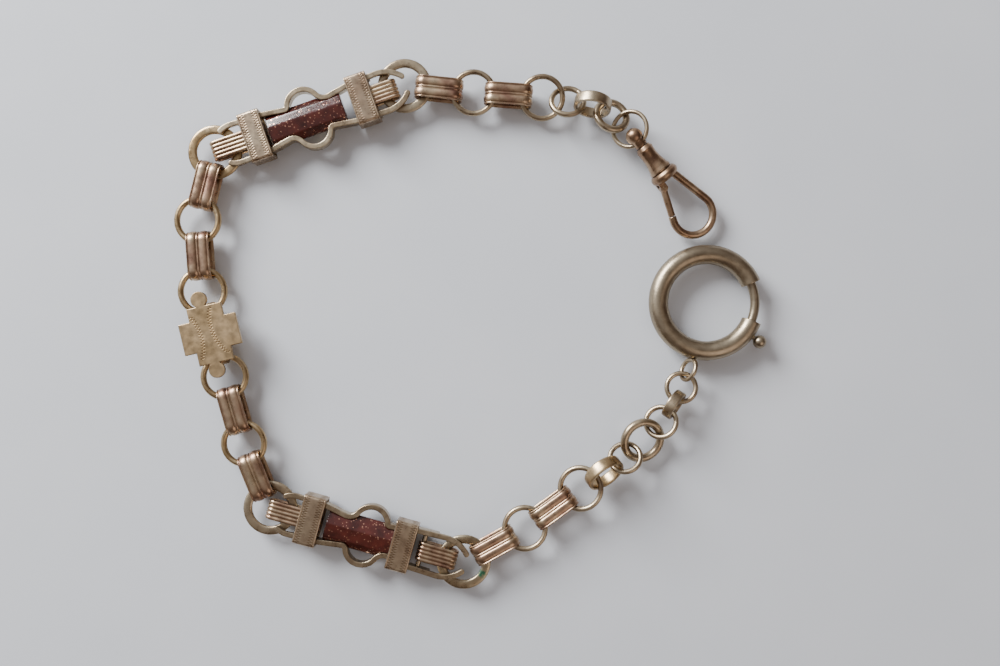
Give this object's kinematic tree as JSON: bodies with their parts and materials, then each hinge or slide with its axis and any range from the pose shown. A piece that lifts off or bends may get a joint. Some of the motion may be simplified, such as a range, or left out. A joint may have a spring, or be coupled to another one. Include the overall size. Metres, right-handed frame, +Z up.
{
  "type": "pocket watch chain",
  "caption": "Jewellery chain for a pocket watch: a cross plate, two arms of rings, reeded links and stone-set bars, ending in a swivel dog clip and a spring ring.",
  "frame": {"origin": "middle of the lay, on the surface that the chain rests on", "axes": "+Z up from the surface, +X from the cross plate towards the spring ring and dog clip, +Y towards the dog clip's arm"},
  "size_m": [0.1062, 0.095, 0.007],
  "materials": {
    "ring": "aged warm gold-nickel finish, worn bright on the high spots",
    "reeded": "aged warm gold finish, reeded, darkened in the grooves",
    "flat_ring": "aged satin finish",
    "cross": "beige-brown tarnish with fine engraving",
    "bar_frame": "nickel-brown, worn",
    "cuff": "polished, engraved along both edges",
    "stone": "dark red-brown glass with copper flecks, polished",
    "clip": "reddish-brown worn plating",
    "spring_ring": "satin nickel-brown",
    "spring_steel": "dull spring steel"
  },
  "bodies": {
    "cross": {"cross_plate": "cross", "cross_loop": "cross"},
    "clip_ring_1": {"clip_ring_1": "ring"},
    "clip_strap_1": {"clip_strap_1": "reeded"},
    "clip_ring_2": {"clip_ring_2": "ring"},
    "clip_strap_2": {"clip_strap_2": "reeded"},
    "clip_flat_ring_1": {"clip_flat_ring_1": "flat_ring"},
    "clip_bar_loop_near": {"clip_bar_loop_near": "reeded"},
    "clip_bar_loop_far": {"clip_bar_loop_far": "reeded"},
    "clip_bar": {"clip_bar_strips": "bar_frame", "clip_bar_cross_pins": "bar_frame", "clip_bar_stone": "stone"},
    "clip_bar_cuff_near": {"clip_bar_cuff_near": "cuff"},
    "clip_bar_cuff_far": {"clip_bar_cuff_far": "cuff"},
    "clip_flat_ring_2": {"clip_flat_ring_2": "flat_ring"},
    "clip_strap_3": {"clip_strap_3": "reeded"},
    "clip_ring_3": {"clip_ring_3": "ring"},
    "clip_strap_4": {"clip_strap_4": "reeded"},
    "clip_ring_4": {"clip_ring_4": "ring"},
    "clip_jump_ring": {"clip_jump_ring": "ring"},
    "clip_bracket_ring": {"clip_bracket_ring": "ring"},
    "clip_thick_ring": {"clip_thick_ring": "ring"},
    "clip_swivel_ring": {"clip_swivel_ring": "ring"},
    "spring_ring_1": {"spring_ring_1": "ring"},
    "spring_strap_1": {"spring_strap_1": "reeded"},
    "spring_ring_2": {"spring_ring_2": "ring"},
    "spring_strap_2": {"spring_strap_2": "reeded"},
    "spring_flat_ring_1": {"spring_flat_ring_1": "flat_ring"},
    "spring_bar_loop_near": {"spring_bar_loop_near": "reeded"},
    "spring_bar_loop_far": {"spring_bar_loop_far": "reeded"},
    "spring_bar": {"spring_bar_strips": "bar_frame", "spring_bar_cross_pins": "bar_frame", "spring_bar_stone": "stone"},
    "spring_bar_cuff_near": {"spring_bar_cuff_near": "cuff"},
    "spring_bar_cuff_far": {"spring_bar_cuff_far": "cuff"},
    "spring_flat_ring_2": {"spring_flat_ring_2": "flat_ring"},
    "spring_strap_3": {"spring_strap_3": "reeded"},
    "spring_ring_3": {"spring_ring_3": "ring"},
    "spring_strap_4": {"spring_strap_4": "reeded"},
    "spring_ring_4": {"spring_ring_4": "ring"},
    "spring_wide_ring": {"spring_wide_ring": "ring"},
    "spring_light_ring_1": {"spring_light_ring_1": "ring"},
    "spring_heavy_ring": {"spring_heavy_ring": "ring"},
    "spring_light_ring_2": {"spring_light_ring_2": "ring"},
    "spring_narrow_ring": {"spring_narrow_ring": "ring"},
    "spring_end_ring": {"spring_end_ring": "ring"},
    "spring_ring": {"spring_eye": "ring", "spring_ring_case": "spring_ring", "spring_ring_coil": "spring_steel"},
    "clip_swivel_head": {"clip_swivel_head": "clip"},
    "clip_body": {"clip_barrel": "clip", "clip_collar": "clip", "clip_hook": "clip", "clip_gate_pin": "clip", "clip_gate_spring": "spring_steel"},
    "clip_gate": {"clip_gate": "clip"},
    "spring_bolt": {"spring_ring_bolt": "spring_ring", "spring_ring_knob": "spring_ring"}
  },
  "joints": [
    {"name": "clip_ring_1_hinge", "type": "hinge", "parent": "cross", "child": "clip_ring_1", "pos_m": [-0.04679, 0.00195, 0.0018], "axis": [0.9728, 0.2317, 0], "range_deg": [-45, 25]},
    {"name": "clip_strap_1_swing", "type": "hinge", "parent": "clip_ring_1", "child": "clip_strap_1", "pos_m": [-0.04795, 0.00585, 0.0019], "axis": [0.101, 0.0271, 0.9945], "range_deg": [0, 35]},
    {"name": "clip_ring_2_hinge", "type": "hinge", "parent": "clip_strap_1", "child": "clip_ring_2", "pos_m": [-0.04858, 0.01484, 0.0018], "axis": [0.9976, 0.0698, 0], "range_deg": [-45, 45]},
    {"name": "clip_strap_2_swing", "type": "hinge", "parent": "clip_ring_2", "child": "clip_strap_2", "pos_m": [-0.04884, 0.01854, 0.0019], "axis": [0.0869, 0.0061, -0.9962], "range_deg": [-35, 0]},
    {"name": "clip_flat_ring_1_hinge", "type": "hinge", "parent": "clip_strap_2", "child": "clip_flat_ring_1", "pos_m": [-0.04666, 0.02728, 0.0018], "axis": [-0.9703, 0.2419, 0], "range_deg": [-45, 45]},
    {"name": "clip_bar_loop_near_swing", "type": "hinge", "parent": "clip_flat_ring_1", "child": "clip_bar_loop_near", "pos_m": [-0.04579, 0.03077, 0.0016], "axis": [0, 0, 1], "range_deg": [0, 35]},
    {"name": "clip_bar_hinge", "type": "hinge", "parent": "clip_bar_loop_near", "child": "clip_bar", "pos_m": [-0.04003, 0.03279, 0.0019], "axis": [-0.3305, 0.9438, 0], "range_deg": [0, 4]},
    {"name": "clip_bar_cuff_near_slide", "type": "slide", "parent": "clip_bar", "child": "clip_bar_cuff_near", "axis": [0.9438, 0.3305, 0], "range_m": [-0.0012, 0.004]},
    {"name": "clip_bar_cuff_far_slide", "type": "slide", "parent": "clip_bar", "child": "clip_bar_cuff_far", "axis": [0.9438, 0.3305, 0], "range_m": [-0.0041, 0.0011]},
    {"name": "clip_bar_loop_far_hinge", "type": "hinge", "parent": "clip_bar", "child": "clip_bar_loop_far", "pos_m": [-0.01917, 0.04009, 0.0019], "axis": [-0.3305, 0.9438, 0], "range_deg": [0, 4]},
    {"name": "clip_flat_ring_2_hinge", "type": "hinge", "parent": "clip_bar_loop_far", "child": "clip_flat_ring_2", "pos_m": [-0.01409, 0.04187, 0.0019], "axis": [0.3305, -0.9438, 0], "range_deg": [-5, 0]},
    {"name": "clip_strap_3_swing", "type": "hinge", "parent": "clip_flat_ring_2", "child": "clip_strap_3", "pos_m": [-0.01181, 0.04267, 0.0016], "axis": [0, 0, -1], "range_deg": [-35, 0]},
    {"name": "clip_ring_3_hinge", "type": "hinge", "parent": "clip_strap_3", "child": "clip_ring_3", "pos_m": [-0.00308, 0.04175, 0.0018], "axis": [-0.1045, -0.9945, 0], "range_deg": [-45, 45]},
    {"name": "clip_strap_4_swing", "type": "hinge", "parent": "clip_ring_3", "child": "clip_strap_4", "pos_m": [0.00055, 0.04137, 0.0019], "axis": [-0.0091, -0.0867, 0.9962], "range_deg": [-2, 35]},
    {"name": "clip_ring_4_hinge", "type": "hinge", "parent": "clip_strap_4", "child": "clip_ring_4", "pos_m": [0.00939, 0.04076, 0.0018], "axis": [0.0698, 0.9976, 0], "range_deg": [-45, 45]},
    {"name": "clip_jump_ring_swing", "type": "hinge", "parent": "clip_ring_4", "child": "clip_jump_ring", "pos_m": [0.01283, 0.04051, 0.0019], "axis": [0.0145, 0.2074, -0.9781], "range_deg": [-35, 2]},
    {"name": "clip_bracket_ring_swing", "type": "hinge", "parent": "clip_jump_ring", "child": "clip_bracket_ring", "pos_m": [0.01736, 0.03972, 0.0023], "axis": [-0.0234, 0.4171, 0.9085], "range_deg": [-2, 35]},
    {"name": "clip_thick_ring_swing", "type": "hinge", "parent": "clip_bracket_ring", "child": "clip_thick_ring", "pos_m": [0.02173, 0.03887, 0.00348], "axis": [-0.1851, -0.9525, 0.2419], "range_deg": [-35, 35]},
    {"name": "clip_swivel_ring_swing", "type": "hinge", "parent": "clip_thick_ring", "child": "clip_swivel_ring", "pos_m": [0.02519, 0.0371, 0.0025], "axis": [-0.2414, -0.3335, -0.9113], "range_deg": [-35, 35]},
    {"name": "spring_ring_1_hinge", "type": "hinge", "parent": "cross", "child": "spring_ring_1", "pos_m": [-0.04499, -0.00563, 0.0018], "axis": [-0.9728, -0.2317, 0], "range_deg": [-45, 25]},
    {"name": "spring_strap_1_swing", "type": "hinge", "parent": "spring_ring_1", "child": "spring_strap_1", "pos_m": [-0.04399, -0.00946, 0.0019], "axis": [0.1014, 0.0253, 0.9945], "range_deg": [-35, 0]},
    {"name": "spring_ring_2_hinge", "type": "hinge", "parent": "spring_strap_1", "child": "spring_ring_2", "pos_m": [-0.04155, -0.01798, 0.0018], "axis": [-0.9613, -0.2756, 0], "range_deg": [-45, 45]},
    {"name": "spring_strap_2_swing", "type": "hinge", "parent": "spring_ring_2", "child": "spring_strap_2", "pos_m": [-0.04056, -0.02142, 0.0019], "axis": [0.0838, 0.024, -0.9962], "range_deg": [0, 35]},
    {"name": "spring_flat_ring_1_hinge", "type": "hinge", "parent": "spring_strap_2", "child": "spring_flat_ring_1", "pos_m": [-0.03724, -0.02964, 0.0018], "axis": [0.9272, 0.3746, 0], "range_deg": [-45, 45]},
    {"name": "spring_bar_loop_near_swing", "type": "hinge", "parent": "spring_flat_ring_1", "child": "spring_bar_loop_near", "pos_m": [-0.03589, -0.03298, 0.0016], "axis": [0, 0, 1], "range_deg": [-35, 0]},
    {"name": "spring_bar_hinge", "type": "hinge", "parent": "spring_bar_loop_near", "child": "spring_bar", "pos_m": [-0.03001, -0.03462, 0.0019], "axis": [0.2689, 0.9632, 0], "range_deg": [0, 4]},
    {"name": "spring_bar_cuff_near_slide", "type": "slide", "parent": "spring_bar", "child": "spring_bar_cuff_near", "axis": [0.9632, -0.2689, 0], "range_m": [-0.0008, 0.0044]},
    {"name": "spring_bar_cuff_far_slide", "type": "slide", "parent": "spring_bar", "child": "spring_bar_cuff_far", "axis": [0.9632, -0.2689, 0], "range_m": [-0.0006, 0.0046]},
    {"name": "spring_bar_loop_far_hinge", "type": "hinge", "parent": "spring_bar", "child": "spring_bar_loop_far", "pos_m": [-0.00873, -0.04057, 0.0019], "axis": [0.2689, 0.9632, 0], "range_deg": [0, 4]},
    {"name": "spring_flat_ring_2_hinge", "type": "hinge", "parent": "spring_bar_loop_far", "child": "spring_flat_ring_2", "pos_m": [-0.00355, -0.04201, 0.0019], "axis": [-0.2689, -0.9632, 0], "range_deg": [-5, 0]},
    {"name": "spring_strap_3_swing", "type": "hinge", "parent": "spring_flat_ring_2", "child": "spring_strap_3", "pos_m": [-0.00121, -0.04266, 0.0016], "axis": [0, 0, -1], "range_deg": [0, 35]},
    {"name": "spring_ring_3_hinge", "type": "hinge", "parent": "spring_strap_3", "child": "spring_ring_3", "pos_m": [0.00655, -0.03836, 0.0018], "axis": [0.4848, -0.8746, 0], "range_deg": [-45, 45]},
    {"name": "spring_strap_4_swing", "type": "hinge", "parent": "spring_ring_3", "child": "spring_strap_4", "pos_m": [0.00975, -0.03659, 0.0019], "axis": [-0.0507, 0.0914, 0.9945], "range_deg": [-35, 2]},
    {"name": "spring_ring_4_hinge", "type": "hinge", "parent": "spring_strap_4", "child": "spring_ring_4", "pos_m": [0.01691, -0.03138, 0.0018], "axis": [-0.5878, 0.809, 0], "range_deg": [-45, 45]},
    {"name": "spring_wide_ring_swing", "type": "hinge", "parent": "spring_ring_4", "child": "spring_wide_ring", "pos_m": [0.01966, -0.02938, 0.0023], "axis": [0.2323, -0.0882, -0.9686], "range_deg": [-2, 35]},
    {"name": "spring_light_ring_1_swing", "type": "hinge", "parent": "spring_wide_ring", "child": "spring_light_ring_1", "pos_m": [0.02374, -0.02642, 0.00354], "axis": [0.4873, -0.6707, 0.5592], "range_deg": [-35, 35]},
    {"name": "spring_heavy_ring_swing", "type": "hinge", "parent": "spring_light_ring_1", "child": "spring_heavy_ring", "pos_m": [0.02757, -0.02384, 0.00272], "axis": [-0.2409, 0.5121, 0.8245], "range_deg": [-35, 35]},
    {"name": "spring_light_ring_2_swing", "type": "hinge", "parent": "spring_heavy_ring", "child": "spring_light_ring_2", "pos_m": [0.03078, -0.02084, 0.00204], "axis": [-0.2555, 0.274, -0.9272], "range_deg": [-35, 35]},
    {"name": "spring_narrow_ring_swing", "type": "hinge", "parent": "spring_light_ring_2", "child": "spring_narrow_ring", "pos_m": [0.03407, -0.01755, 0.0021], "axis": [-0.3543, 0.2656, 0.8966], "range_deg": [-35, 35]},
    {"name": "spring_end_ring_swing", "type": "hinge", "parent": "spring_narrow_ring", "child": "spring_end_ring", "pos_m": [0.03623, -0.01435, 0.00284], "axis": [0.779, -0.5255, 0.342], "range_deg": [-35, 35]},
    {"name": "spring_eye_swing", "type": "hinge", "parent": "spring_end_ring", "child": "spring_ring", "pos_m": [0.03768, -0.01139, 0.0022], "axis": [0.0948, -0.1231, -0.9879], "range_deg": [-35, 35]},
    {"name": "clip_swivel_head_swing", "type": "hinge", "parent": "clip_swivel_ring", "child": "clip_swivel_head", "pos_m": [0.02838, 0.03461, 0.00302], "axis": [-0.4218, -0.0626, 0.9045], "range_deg": [-35, 35]},
    {"name": "clip_body_turn", "type": "hinge", "parent": "clip_swivel_head", "child": "clip_body", "pos_m": [0.02905, 0.03317, 0.00381], "axis": [0.6365, -0.7586, -0.1392], "continuous": true},
    {"name": "clip_gate_hinge", "type": "hinge", "parent": "clip_body", "child": "clip_gate", "pos_m": [0.03443, 0.02424, 0.00236], "axis": [0.0895, -0.1066, 0.9903], "range_deg": [0, 22], "stiffness_Nm_per_rad": 0.002, "springref_deg": -20.05},
    {"name": "spring_bolt_slide_back", "type": "hinge", "parent": "spring_ring", "child": "spring_bolt", "pos_m": [0.04232, 0.0038, 0.00175], "axis": [0, 0, 1], "range_deg": [-46, 0], "stiffness_Nm_per_rad": 0.002, "springref_deg": 28.65}
  ]
}
